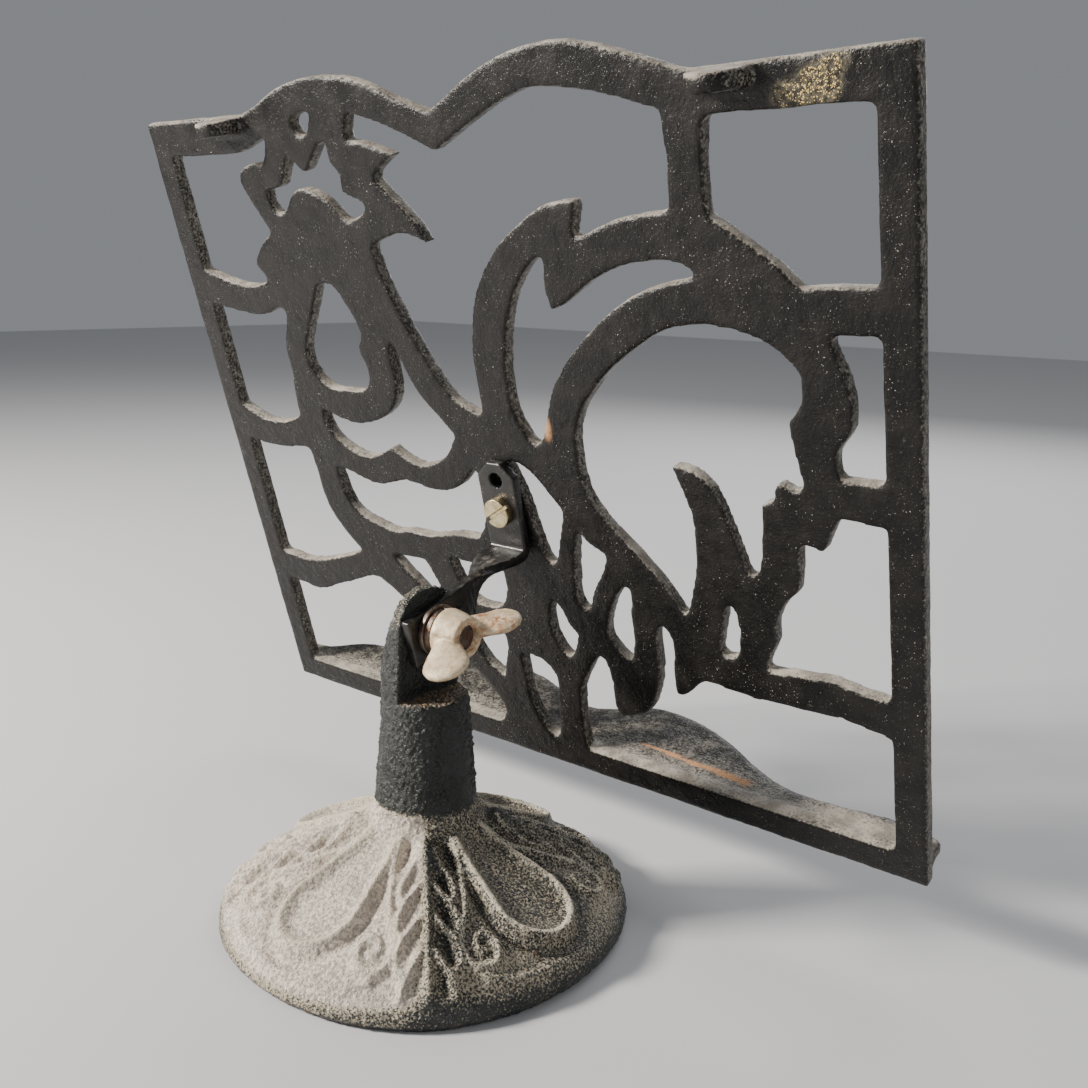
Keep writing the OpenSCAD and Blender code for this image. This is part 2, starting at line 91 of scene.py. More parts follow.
def make_lights():
    area_light("key", (0.74, 0.70, 0.66), (0, 0, 0.06), 0.20, 30, (1.0, 0.95, 0.88))
    area_light("fill", (-0.95, 0.25, 0.60), (0, 0, 0.10), 0.8, 1.5)
    area_light("front", (0.2, -1.0, 0.75), (0, 0, 0.10), 0.8, 7)
    world = bpy.data.worlds.new("studio")
    bpy.context.scene.world = world
    world.use_nodes = True
    world.node_tree.nodes["Background"].inputs["Color"].default_value = (0.80, 0.83, 0.88, 1)
    world.node_tree.nodes["Background"].inputs["Strength"].default_value = 0.29


def make_floor():
    bpy.ops.mesh.primitive_plane_add(size=6)
    floor = bpy.context.object
    floor.name = "floor"
    material = bpy.data.materials.new("floor")
    material.use_nodes = True
    shader = material.node_tree.nodes["Principled BSDF"]
    shader.inputs["Base Color"].default_value = (0.62, 0.62, 0.63, 1)
    shader.inputs["Roughness"].default_value = 0.75
    floor.data.materials.append(material)


# ---------------------------------------------------------------- mesh helpers


def new_object(name, verts, faces):
    mesh = bpy.data.meshes.new(name)
    mesh.from_pydata([tuple(v) for v in verts], [], [tuple(f) for f in faces])
    mesh.update()
    obj = bpy.data.objects.new(name, mesh)
    bpy.context.scene.collection.objects.link(obj)
    return obj


def copy_of_node(node, name):
    """A copy of a CAD node's mesh, without its material, to work on."""
    obj = bpy.data.objects.new(name, frame["nodes"][node].data.copy())
    obj.data.materials.clear()
    bpy.context.scene.collection.objects.link(obj)
    return obj


def joined(name, parts):
    """One mesh object out of several, with the parts removed."""
    bm = bmesh.new()
    for part in parts:
        part.data.transform(part.matrix_world)
        bm.from_mesh(part.data)
        bpy.data.objects.remove(part)
    mesh = bpy.data.meshes.new(name)
    bm.to_mesh(mesh)
    bm.free()
    obj = bpy.data.objects.new(name, mesh)
    bpy.context.scene.collection.objects.link(obj)
    return obj


def apply_modifiers(obj):
    bpy.context.view_layer.update()
    evaluated = obj.evaluated_get(bpy.context.evaluated_depsgraph_get())
    mesh = bpy.data.meshes.new_from_object(evaluated)
    obj.modifiers.clear()
    obj.data = mesh
    return obj


def remeshed(obj, voxel, smooth=4, factor=0.5):
    """Makes one closed skin of even small faces, with its edges rounded as on a casting."""
    remesh = obj.modifiers.new("skin", "REMESH")
    remesh.mode = "VOXEL"
    remesh.voxel_size = voxel
    remesh.use_smooth_shade = True
    if smooth:
        soft = obj.modifiers.new("soft", "SMOOTH")
        soft.iterations = smooth
        soft.factor = factor
    return apply_modifiers(obj)


def points_of(obj):
    co = np.empty(len(obj.data.vertices) * 3, np.float32)
    obj.data.vertices.foreach_get("co", co)
    return co.reshape(-1, 3).astype(float)


def normals_of(obj):
    co = np.empty(len(obj.data.vertices) * 3, np.float32)
    obj.data.vertices.foreach_get("normal", co)
    return co.reshape(-1, 3).astype(float)


def set_points(obj, co):
    obj.data.vertices.foreach_set("co", co.astype(np.float32).ravel())
    obj.data.update()


def field(co, scale, seed=0.0):
    """Smooth noise from -1 to 1 at each point, with features of about scale metres."""
    shift = Vector((seed, 2 * seed, 3 * seed))
    return np.array([noise.noise(Vector(p) / scale + shift) for p in co])


def roughened(obj, *layers):
    """Pushes each point along its normal by layers of noise, given as (size of feature, depth)."""
    co = points_of(obj)
    push = sum(field(co, scale, 7.3 * i) * depth for i, (scale, depth) in enumerate(layers))
    set_points(obj, co + normals_of(obj) * push[:, None])
    return obj


def step(value, low, high):
    """Smooth rise from 0 at low to 1 at high."""
    t = np.clip((value - low) / (high - low), 0, 1)
    return t * t * (3 - 2 * t)


def paint(obj, name, values):
    """Stores one number per point, such as how much dust lies there, for the material to read."""
    attribute = obj.data.attributes.get(name) or obj.data.attributes.new(name, "FLOAT", "POINT")
    attribute.data.foreach_set("value", np.clip(values, 0, 1).astype(np.float32))


def cut(obj, cutter):
    """Takes the cutter's shape out of obj, and removes the cutter."""
    bool_mod = obj.modifiers.new("cut", "BOOLEAN")
    bool_mod.operation = "DIFFERENCE"
    bool_mod.solver = "EXACT"
    bool_mod.object = cutter
    apply_modifiers(obj)
    bpy.data.objects.remove(cutter)
    return obj


def cylinder(name, radius, start, end, sides=48):
    start, end = Vector(start), Vector(end)
    bm = bmesh.new()
    bmesh.ops.create_cone(bm, cap_ends=True, segments=sides, radius1=radius, radius2=radius,
                          depth=(end - start).length)
    mesh = bpy.data.meshes.new(name)
    bm.to_mesh(mesh)
    bm.free()
    obj = bpy.data.objects.new(name, mesh)
    bpy.context.scene.collection.objects.link(obj)
    obj.matrix_world = Matrix.Translation((start + end) / 2) @ (
        (end - start).to_track_quat("Z", "Y").to_matrix().to_4x4())
    obj.data.transform(obj.matrix_world)
    obj.matrix_world = Matrix.Identity(4)
    return obj


def inside_cad_box(obj, node):
    """Presses the few points that the roughness has pushed out of the node's CAD box back into it."""
    corners = np.array([v.co for v in frame["nodes"][node].data.vertices])
    corners = corners @ np.array(frame["nodes"][node].matrix_world.to_3x3()).T + np.array(
        frame["nodes"][node].matrix_world.translation)
    set_points(obj, np.clip(points_of(obj), corners.min(0), corners.max(0)))


def finish_piece(obj, material, body, node):
    inside_cad_box(obj, node)
    obj.data.materials.clear()
    obj.data.materials.append(material)
    for polygon in obj.data.polygons:
        polygon.use_smooth = True
    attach(obj, body)
    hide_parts(node)
    return obj


# ---------------------------------------------------------------- materials


class Nodes:
    """Short names for building one material's node tree."""

    def __init__(self, name):
        self.material = bpy.data.materials.new(name)
        self.material.use_nodes = True
        self.tree = self.material.node_tree
        self.shader = self.tree.nodes["Principled BSDF"]
        self.place = self.tree.nodes.new("ShaderNodeTexCoord").outputs["Object"]

    def link(self, source, target):
        self.tree.links.new(source, target)

    def set(self, name, value):
        self.shader.inputs[name].default_value = value

    def noise(self, size, detail=3.0, rough=0.55):
        node = self.tree.nodes.new("ShaderNodeTexNoise")
        node.inputs["Scale"].default_value = 1 / size
        node.inputs["Detail"].default_value = detail
        node.inputs["Roughness"].default_value = rough
        self.link(self.place, node.inputs["Vector"])
        return node.outputs["Fac"]

    def cells(self, size):
        node = self.tree.nodes.new("ShaderNodeTexVoronoi")
        node.inputs["Scale"].default_value = 1 / size
        self.link(self.place, node.inputs["Vector"])
        return node.outputs["Distance"]

    def ramp(self, source, low, high, bottom=0.0, top=1.0):
        node = self.tree.nodes.new("ShaderNodeMapRange")
        node.interpolation_type = "SMOOTHSTEP"
        for key, value in zip(("From Min", "From Max", "To Min", "To Max"), (low, high, bottom, top)):
            node.inputs[key].default_value = value
        self.link(source, node.inputs["Value"])
        return node.outputs["Result"]

    def painted(self, name):
        node = self.tree.nodes.new("ShaderNodeAttribute")
        node.attribute_name = name
        return node.outputs["Fac"]

    def math(self, operation, a, b):
        node = self.tree.nodes.new("ShaderNodeMath")
        node.operation = operation
        for socket, value in zip(node.inputs, (a, b)):
            if isinstance(value, (int, float)):
                socket.default_value = value
            else:
                self.link(value, socket)
        return node.outputs[0]

    def mix(self, amount, a, b):
        node = self.tree.nodes.new("ShaderNodeMix")
        node.data_type = "RGBA"
        self.link(amount, node.inputs["Factor"])
        for socket, value in ((node.inputs["A"], a), (node.inputs["B"], b)):
            if isinstance(value, tuple):
                socket.default_value = (*value, 1)
            else:
                self.link(value, socket)
        return node.outputs["Result"]

    def bump(self, *layers):
        """Bump from (height, distance in metres) layers, each on top of the one before."""
        normal = None
        for height, distance in layers:
            node = self.tree.nodes.new("ShaderNodeBump")
            node.inputs["Strength"].default_value = 1.0
            node.inputs["Distance"].default_value = distance
            self.link(height, node.inputs["Height"])
            if normal is not None:
                self.link(normal, node.inputs["Normal"])
            normal = node.outputs["Normal"]
        self.link(normal, self.shader.inputs["Normal"])


def plate_material():
    """Semi-gloss black paint over sand-cast iron, with dust, pale flecks, rust and gold overspray, and
    painted highlights on the edges, among the flecks and on the lugs' tops.
    """
    n = Nodes("plate_paint")
    broad = n.noise(9 * MM, 4)
    fine = n.noise(0.8 * MM, 4, 0.65)
    black = n.mix(n.ramp(broad, 0.35, 0.7), (0.0042, 0.0037, 0.0033), (0.0125, 0.0105, 0.0092))
    # Rubbed edges, partly painted highlight: where the edge attribute is painted the black turns paler,
    # as on lit rims
    wear_and_painted_light = n.math("MULTIPLY", n.painted("edge"), n.ramp(n.noise(2.6 * MM, 5, 0.7), 0.46, 0.64, 0.1, 1))
    black_wear_and_highlight = n.mix(wear_and_painted_light, black, (0.20, 0.185, 0.155))
    # Chips and lint, partly painted glints: many tiny pale flecks that gather in places
    fleck_and_glint = n.ramp(n.noise(0.42 * MM, 2, 0.5), 0.685, 0.74)
    fleck_and_glint = n.math("MULTIPLY", fleck_and_glint, n.ramp(n.noise(7 * MM, 3), 0.40, 0.62, 0.12, 1.0))
    flecked_and_glinting = n.mix(fleck_and_glint, black_wear_and_highlight, (0.62, 0.57, 0.48))
    # The dust attribute also carries the lugs' painted highlight
    dust_and_painted_light_amount = n.ramp(n.math("ADD", fine, n.math("MULTIPLY", n.painted("dust"), 0.55)), 0.62, 0.98)
    dust_tone = n.mix(n.ramp(n.noise(6 * MM, 3), 0.35, 0.65), (0.44, 0.40, 0.335), (0.25, 0.22, 0.185))
    dusty = n.mix(dust_and_painted_light_amount, flecked_and_glinting, dust_tone)
    rust_amount = n.math("MULTIPLY", n.painted("rust"), n.ramp(n.noise(1.6 * MM, 4), 0.30, 0.5, 0.55, 1))
    rusty = n.mix(rust_amount, dusty, (0.50, 0.265, 0.13))
    # Gold overspray: a faint haze with fine dots, denser where more of it was painted
    patch = n.ramp(n.painted("gold"), 0.05, 0.5)
    hazy = n.mix(n.math("MULTIPLY", patch, n.ramp(n.noise(1.3 * MM, 3), 0.35, 0.65, 0.1, 0.7)), rusty,
                 (0.17, 0.15, 0.105))
    dots = n.math("MAXIMUM", n.ramp(n.cells(0.55 * MM), 0.20, 0.36, 1.0, 0.0),
                  n.ramp(n.noise(0.45 * MM, 2, 0.6), 0.60, 0.66))
    thick = n.ramp(n.math("ADD", n.noise(1.5 * MM, 3), n.math("MULTIPLY", n.painted("gold"), 0.5)),
                   0.72, 0.86)
    thick = n.math("MULTIPLY", thick, patch)
    gilded = n.mix(n.math("MULTIPLY", dots, thick), hazy, (0.95, 0.68, 0.25))
    n.link(gilded, n.shader.inputs["Base Color"])
    roughness = n.ramp(broad, 0.3, 0.75, 0.30, 0.50)
    matte = n.math("MAXIMUM", dust_and_painted_light_amount, n.painted("rust"))
    n.link(n.math("MAXIMUM", roughness, n.math("MULTIPLY", matte, 0.85)), n.shader.inputs["Roughness"])
    n.set("Specular IOR Level", 0.27)
    n.bump((n.noise(3.2 * MM, 4), 0.40 * MM), (fine, 0.15 * MM))
    return n.material


def base_material():
    """Faded black-green paint on coarse sand-cast iron, with dust, pale crests that are partly painted
    highlight, and dents painted darker as painted shade.
    """
    n = Nodes("base_paint")
    broad = n.noise(12 * MM, 4)
    grain = n.noise(1.0 * MM, 3, 0.62)
    green = n.mix(n.ramp(broad, 0.35, 0.7), (0.007, 0.009, 0.008), (0.022, 0.027, 0.024))
    speckle = n.noise(0.62 * MM, 3, 0.62)
    # The dust attribute also carries painted shade in the dents and a painted highlight on the ear's rim
    dust_and_painted_light_amount = n.ramp(n.math("ADD", speckle, n.math("MULTIPLY", n.painted("dust"), 0.60)), 0.68, 0.92)
    thick_tone = n.mix(n.ramp(n.noise(5 * MM, 4), 0.35, 0.65), (0.84, 0.735, 0.62), (0.66, 0.575, 0.49))
    thick_tone = n.mix(n.ramp(grain, 0.40, 0.58, 0.75, 0.0), thick_tone, (0.30, 0.265, 0.235))
    dust_tone = n.mix(n.ramp(n.painted("dust"), 0.55, 0.75), (0.58, 0.50, 0.37), thick_tone)
    dusty = n.mix(dust_and_painted_light_amount, green, dust_tone)
    # Crests, partly painted highlight: the relief's raised lines are painted pale
    crest_highlight = n.ramp(n.math("ADD", speckle, n.math("MULTIPLY", n.painted("crest_highlight"), 0.52)), 0.68, 0.92)
    pale = n.mix(crest_highlight, dusty, (0.66, 0.585, 0.455))
    rust_amount = n.math("MULTIPLY", n.painted("rust"), n.ramp(n.noise(1.8 * MM, 4), 0.42, 0.6))
    n.link(n.mix(rust_amount, pale, (0.36, 0.19, 0.10)), n.shader.inputs["Base Color"])
    matte = n.math("MAXIMUM", dust_and_painted_light_amount, crest_highlight)
    n.link(n.math("MAXIMUM", n.ramp(broad, 0.3, 0.7, 0.20, 0.38), n.math("MULTIPLY", matte, 0.9)),
           n.shader.inputs["Roughness"])
    n.set("Specular IOR Level", 0.55)
    n.bump((grain, 1.0 * MM), (n.noise(0.45 * MM, 2), 0.16 * MM))
    return n.material


def strap_material():
    """Glossy black paint with a brassy mist, and scuffs that are partly a painted highlight."""
    n = Nodes("strap_paint")
    mist = n.ramp(n.noise(0.6 * MM, 2, 0.6), 0.60, 0.70)
    amount = n.math("MULTIPLY", mist, n.ramp(n.noise(7 * MM), 0.50, 0.68, 0.05, 0.75))
    black = n.mix(n.ramp(n.noise(5 * MM, 4), 0.4, 0.7), (0.008, 0.0075, 0.007), (0.020, 0.018, 0.017))
    # Scuffs, partly painted highlight: where the edge attribute is painted the black turns paler
    scuffs_and_highlight = n.math("MULTIPLY", n.painted("edge"), n.ramp(n.noise(2.5 * MM, 5, 0.7), 0.42, 0.60))
    base = n.mix(scuffs_and_highlight, black, (0.26, 0.235, 0.20))
    n.link(n.mix(amount, base, (0.40, 0.33, 0.22)), n.shader.inputs["Base Color"])
    n.link(n.ramp(n.noise(4 * MM, 4), 0.3, 0.7, 0.24, 0.42), n.shader.inputs["Roughness"])
    n.bump((n.noise(2.2 * MM, 3), 0.10 * MM))
    return n.material


def metal_material(name, light, dark, rust, roughness, spread, metallic=1.0, grime=None):
    """Bare metal with tarnish, small pits, rust in patches and, where painted, grime that is partly
    painted shade.
    """
    n = Nodes(name)
    n.set("Metallic", metallic)
    tone = n.mix(n.ramp(n.noise(3 * MM, 5, 0.65), 0.36, 0.66), light, dark)
    if grime:
        pits = n.ramp(n.noise(0.5 * MM, 3, 0.6), 0.60, 0.70)
        pits = n.math("MULTIPLY", pits, n.ramp(n.noise(4 * MM, 3), 0.4, 0.6, 0.2, 0.9))
        tone = n.mix(pits, tone, grime)
        # Grime and painted shade: where the edge attribute is painted the tone darkens
        wear_and_painted_light = n.math("MULTIPLY", n.painted("edge"), n.ramp(n.noise(2 * MM, 4), 0.3, 0.7, 0.25, 0.95))
        tone = n.mix(wear_and_painted_light, tone, grime)
    patches = n.math("MULTIPLY", n.painted("rust"), n.ramp(n.noise(1.2 * MM, 4, 0.6), 0.38, 0.62))
    n.link(n.mix(patches, tone, rust), n.shader.inputs["Base Color"])
    n.link(n.ramp(n.noise(2 * MM, 4), 0.3, 0.7, roughness - spread, roughness + spread),
           n.shader.inputs["Roughness"])
    n.bump((n.noise(1.4 * MM, 4, 0.6), 0.14 * MM), (n.noise(0.35 * MM, 2), 0.03 * MM))
    return n.material


# ---------------------------------------------------------------- back plate


def plate_place(co):
    """Each point's place in the plate's own frame: across, out of the back face, and up."""
    reach, pivot_v = 46 * MM, 80 * MM
    y, z = co[:, 1] - PIVOT.y, co[:, 2] - PIVOT.z
    out = y * math.cos(LEAN) - z * math.sin(LEAN) + reach
    up = y * math.sin(LEAN) + z * math.cos(LEAN) + pivot_v
    return co[:, 0] - PLATE_X, out, up


def plate_directions(normals):
    """How far each normal points out of the plate's back face, and up along the plate."""
    out = normals[:, 1] * math.cos(LEAN) - normals[:, 2] * math.sin(LEAN)
    up = normals[:, 1] * math.sin(LEAN) + normals[:, 2] * math.cos(LEAN)
    return out, up


def spot(a, b, centre_a, centre_b, half_a, half_b):
    """1 at the centre of an oval, falling to 0 at its edge."""
    return 1 - step(np.hypot((a - centre_a) / half_a, (b - centre_b) / half_b), 0.35, 1.0)


def make_plate():
    # The skin is made with the plate upright, so that its flat faces stay flat
    upright = Matrix.Rotation(LEAN, 4, "X")
    plate = copy_of_node("back_plate", "openwork_plate")
    plate.data.transform(upright)
    remeshed(plate, 0.95 * MM, smooth=3)
    plate.data.transform(upright.inverted())
    roughened(plate, (11 * MM, 0.16 * MM), (3.2 * MM, 0.10 * MM), (1.6 * MM, 0.07 * MM))
    co, normals = points_of(plate), normals_of(plate)
    across, out, up = plate_place(co)
    face_out, face_up = plate_directions(normals)
    seen_left = HALF_PLATE - across            # distance from the left side, seen from behind
    wall = 1 - np.abs(face_out)
    blotch = 0.5 + 0.5 * field(co, 12 * MM, 3.0)
    small = 0.5 + 0.5 * field(co, 3 * MM, 5.0)
    dust = step(face_up, 0.25, 0.8) * (0.50 + 0.50 * blotch)
    on_ledge = step(-out, 4.8 * MM, 5.6 * MM) * step(face_up, 0.5, 0.9)
    near_plate = 1 - step(-out, 6 * MM, 15 * MM)
    right_end = step(seen_left, 222 * MM, 240 * MM)
    on_ledge_dust = (0.19 + 0.14 * blotch + 0.26 * near_plate
                     + 0.34 * right_end * (1 - step(-out, 9 * MM, 14 * MM)))
    beyond = step(-out, 4.3 * MM, 4.9 * MM)
    dust = dust * (1 - beyond) + beyond * step(face_up, 0.5, 0.9) * on_ledge_dust
    side = step(-normals[:, 0], 0.4, 0.8) * 0.38
    front_wear = step(-face_out, 0.6, 0.95) * 0.12 * blotch
    # Painted highlight: the tops of the two lugs are painted pale as if lit
    lug_highlight = step(out, 1.0 * MM, 2.0 * MM) * step(face_up, 0.0, 0.5)          # pale tops of the two lugs
    left_lug, right_lug = 44 * MM, 223 * MM                                # the lugs' middles
    past_middle = np.where(across > 0, seen_left - left_lug, seen_left - right_lug)
    # Painted shade: the far half of each lug's top stays dark
    lug_highlight = lug_highlight * (1 - 0.8 * step(past_middle, -2 * MM, 2 * MM))
    # The dust attribute also carries the lugs' painted highlight
    paint(plate, "dust", np.maximum.reduce([dust, front_wear, side, lug_highlight]))
    # Edge wear, partly painted highlight: the side walls are painted paler as lit rims, less on the lugs
    on_lug = step(out, 0.8 * MM, 1.6 * MM)
    paint(plate, "edge", step(wall, 0.15, 0.6) * (0.35 + 0.65 * small) * (1 - 0.85 * on_lug))
    # The line that books have worn along the ledge, and a rusty fleck at the tail's root
    worn_at = 11.4 * MM - 0.07 * (seen_left - 167 * MM)
    line = np.abs(-out - worn_at)
    along = step(seen_left, 162 * MM, 168 * MM) * (1 - step(seen_left, 205 * MM, 209 * MM))
    width = np.interp(seen_left, (0.165, 0.206), (0.5 * MM, 1.7 * MM)) * (0.75 + 0.5 * small)
    rust = on_ledge * along * (1 - step(line, width * 0.6, width))
    rust = np.maximum(rust, spot(seen_left, up, 155 * MM, 126 * MM, 2.2 * MM, 5 * MM) * 0.9)
    paint(plate, "rust", rust)
    back = step(face_out, 0.5, 0.9)
    gold = spot(seen_left, up, 245 * MM, 213.5 * MM, 7.5 * MM, 6 * MM)
    gold = np.maximum(gold, 0.75 * spot(seen_left, up, 240 * MM, 212 * MM, 9 * MM, 5 * MM))
    gold = np.maximum(gold, 0.7 * spot(seen_left, up, 249 * MM, 218 * MM, 5 * MM, 4 * MM))
    paint(plate, "gold", gold * back)
    return finish_piece(plate, plate_material(), "easel", "back_plate")


# ---------------------------------------------------------------- pedestal

NECK_TOP_R, SHOULDER_Z = 12.7 * MM, 70.5 * MM
WALL = 5 * MM
FOOT_R = 58.0 * MM          # where the flat foot ends and the dome's rounded edge begins
POCKET_HALF = 5.15 * MM     # half the width of the pocket for the bolt's square head
POCKET_X = 3.2 * MM         # the pocket's floor
QUARTER = math.pi / 2
# Half section of the dome, from the foot's outer edge up to the neck, as (radius, height) in mm
DOME_EDGE = ((60.6, 0), (61.7, 1.6), (61.8, 3.6), (61.0, 5.6), (59.6, 7.2), (57.5, 8.8),
             (53, 12.2), (45, 16.4), (36, 20.7), (28, 24.2), (22.5, 26.8), (19.3, 28.8),
             (17.3, 31), (16.0, 34), (15.2, 38))


def smooth_line(points, count):
    """Evenly spaced places along a smooth curve through the points."""
    p = np.array(points, float) * MM
    reach = np.concatenate([[0], np.cumsum(np.hypot(*np.diff(p, axis=0).T))])
    t = np.linspace(0, reach[-1], 40 * len(p))
    curve = []
    for axis in (0, 1):
        slope = np.gradient(p[:, axis], reach)
        k = np.clip(np.searchsorted(reach, t, side="right") - 1, 0, len(p) - 2)
        h = reach[k + 1] - reach[k]
        s = (t - reach[k]) / h
        curve.append((2 * s**3 - 3 * s**2 + 1) * p[k, axis] + (s**3 - 2 * s**2 + s) * h * slope[k]
                     + (3 * s**2 - 2 * s**3) * p[k + 1, axis] + (s**3 - s**2) * h * slope[k + 1])
    curve = np.array(curve).T
    length = np.concatenate([[0], np.cumsum(np.hypot(*np.diff(curve, axis=0).T))])
    even = np.linspace(0, length[-1], count)
    return np.stack([np.interp(even, length, curve[:, 0]), np.interp(even, length, curve[:, 1])], 1)


def ridge(distance, width):
    """1 on a line, falling away smoothly on both sides of it."""
    return np.exp(-(distance / width) ** 2)


def stroke(x, y, points, width, height, tail=0.5):
    """A raised line through the points that gets lower and thinner towards its end."""
    near = np.full(np.shape(x), 1e9)
    along = np.zeros(np.shape(x))
    count = len(points) - 1
    for k in range(count):
        (ax, ay), (bx, by) = points[k], points[k + 1]
        dx, dy = bx - ax, by - ay
        t = np.clip(((x - ax) * dx + (y - ay) * dy) / (dx * dx + dy * dy), 0, 1)
        distance = np.hypot(x - ax - t * dx, y - ay - t * dy)
        closer = distance < near
        near = np.where(closer, distance, near)
        along = np.where(closer, (k + t) / count, along)
    left = 1 - (1 - tail) * along
    return height * left * ridge(near, width * (0.65 + 0.35 * left))


def rounded(points):
    """A finer line through the points, with its corners eased."""
    for _ in range(2):
        finer = [points[0]]
        for (ax, ay), (bx, by) in zip(points, points[1:]):
            finer += [(0.75 * ax + 0.25 * bx, 0.75 * ay + 0.25 * by),
                      (0.25 * ax + 0.75 * bx, 0.25 * ay + 0.75 * by)]
        points = finer + [points[-1]]
    return points


def hollow(p, q, centre_p, centre_q, length, width, turn=0.28):
    """1 in the middle of a long dent that is turned a little from the leaf's rib, 0 away from it."""
    c, s = math.cos(turn), math.sin(turn)
    a = (p - centre_p) * c + (q - centre_q) * s
    b = -(p - centre_p) * s + (q - centre_q) * c
    return np.exp(-(a / length) ** 4 - (b / width) ** 2)


def panel_distance(x, y):
    """Distance outside the smooth teardrop panel, whose round end faces the rim, in mm."""
    half, centre = math.radians(15.5), 41.0
    radius = centre * math.sin(half)
    along = x * math.cos(half) + y * math.sin(half)
    side = -x * math.sin(half) + y * math.cos(half)
    round_end = np.hypot(x - centre, y) - radius
    return np.where(along < centre * math.cos(half), side, round_end)


def from_panel(points):
    """Points given as (degrees from the panel's middle, radius), on the flat."""
    return [(r * math.cos(math.radians(t)), r * math.sin(math.radians(t))) for t, r in points]


# Lines of the relief beside and below the panel, as (degrees from the panel's middle, radius in mm)
SCROLL = rounded(from_panel([(20.5, 16), (22.5, 22), (25, 29), (29, 37), (33, 44), (34.5, 49),
                             (32.5, 53), (28, 54.2), (23.8, 52.3), (22.6, 48.6), (24.6, 45.4),
                             (28.2, 45.4), (30, 48), (28.6, 50.3), (26.8, 49.6)]))
LOWER_LINE = rounded(from_panel([(29, 55.6), (24, 57.2), (15, 58.3), (0, 58.8)]))
# Edges of the leaf's lobes, as (distance from the centre, distance from the rib) in mm
LOBES = [rounded(points) for points in (
    [(21.5, 1.8), (25, 4.6), (29, 7.0), (32.5, 7.8), (35.2, 6.9), (35.4, 5.4)],
    [(30.5, 2.0), (34, 5.0), (38, 7.8), (42, 8.7), (44.6, 7.6), (44.6, 6.0)],
    [(40, 2.0), (43, 4.9), (47, 7.8), (50.6, 8.9), (53.3, 7.9), (53.4, 6.4)],
    [(49, 1.8), (52, 4.0), (55.2, 6.2), (58.4, 7.6)])]
# Dents between the lobes, as (distance from the centre, distance from the rib, length, width) in mm
HOLLOWS = ((29.4, 4.6, 3.6, 1.25), (38.6, 5.0, 3.9, 1.45), (47.8, 5.4, 3.9, 1.5),
           (55.6, 3.9, 3.0, 1.2))


def dome_relief(angle, radius):
    """Height of the relief above the plain dome, in mm, how much each place is a crest, painted pale as
    a partly painted highlight, and how much it is a dent, painted darker as painted shade.
    """
    turn = np.mod(angle + QUARTER / 2, QUARTER) - QUARTER / 2      # from the middle of a panel
    x, y = radius * np.cos(turn), radius * np.abs(np.sin(turn))
    s = panel_distance(x, y)
    edge = 2.1 * ridge(s - 0.6, 1.45)
    trough = -1.3 * ridge(s - 4.2, 1.4) - 0.7 * step(-s, 0.6, 3.2)
    # Acanthus leaf between two panels
    bend = np.mod(angle, QUARTER) - QUARTER / 2                    # from the leaf's rib
    p, q = radius * np.cos(bend), radius * np.abs(np.sin(bend))
    half_leaf = np.interp(p, (16, 22, 32, 45, 56, 61), (2.2, 3.4, 7.2, 8.4, 7.6, 5.5))
    body = 1.1 * step(half_leaf - q, -1.3, 1.3)
    rib = (3.1 - 1.6 * step(radius, 44, 60)) * np.clip(1 - q / 2.1, 0, 1) ** 1.1
    bud = 3.6 * np.exp(-(np.abs(p - 21.0) / 4.8) ** 3 - (q / 2.9) ** 2)
    scroll = stroke(x, y, SCROLL, 1.35, 2.2, 0.65)
    lower = stroke(x, y, LOWER_LINE, 1.2, 1.3, 0.7)
    fold = stroke(p, q, [(18, 3.9), (26, 4.4)], 0.8, 1.1, 0.3)
    lobes = [stroke(p, q, points, 1.05, 2.3, 0.8) for points in LOBES]
    raised = np.maximum.reduce([edge, scroll, lower, body + rib, body + bud, body + fold]
                               + [body + lobe for lobe in lobes])
    dents = sum(hollow(p, q, *place) for place in HOLLOWS) * (0.5 + 0.9 * step(bend, -0.02, 0.06))
    height = raised + trough - dents * step(q, 0.8, 2.0)
    # Crests, painted pale: partly painted highlight
    crest_highlight = np.maximum.reduce([edge / 2.1, 0.85 * scroll / 2.2, 0.6 * lower / 1.3]
                              + [0.7 * lobe / 2.3 for lobe in lobes])
    # Painted shade: how much each dent and trough is darkened as if shaded
    cavity_shade = np.maximum.reduce([0.5 * ridge(s - 4.4, 1.2), 0.5 * dents * step(q, 0.8, 2.0), 0.32 * bud])
    fade = step(radius, 16.0, 18.5) * (1 - step(radius, 58.6, 61.2))
    return height * fade, np.clip(crest_highlight, 0, 1) * fade, np.clip(cavity_shade, 0, 1) * fade


def lathe(profile, turns, relief=False):
    """Rings of points around +Z for a profile of (radius, height) in metres."""
    angles = np.linspace(0, 2 * math.pi, turns, endpoint=False)
    slope = np.gradient(profile, axis=0)
    rings = []
    for (radius, height), (dr, dz) in zip(profile, slope):
        size = max(math.hypot(dr, dz), 1e-9)
        out, up = dz / size, -dr / size
        push = np.zeros(turns)
        if relief:
            push = dome_relief(angles, np.full(turns, radius / MM))[0] * MM
            lobed = 0.5 - 0.5 * np.cos(4 * angles + math.pi)       # the rim draws in at four places
            push = push - 1.0 * MM * lobed * step(np.full(turns, radius), 0.052, 0.060)
        r = radius + push * out
        rings.append(np.stack([r * np.cos(angles), r * np.sin(angles), height + push * up], 1))
    return rings


def skin_of(name, rings):
    """A closed skin over rings that run from the foot's inner edge, out, up and back down inside."""
    turns = len(rings[0])
    verts = np.concatenate(rings)
    faces = []
    for j in range(len(rings)):
        nxt = (j + 1) % len(rings)
        for i in range(turns):
            k = (i + 1) % turns
            faces.append((j * turns + i, j * turns + k, nxt * turns + k, nxt * turns + i))
    return new_object(name, verts, faces)


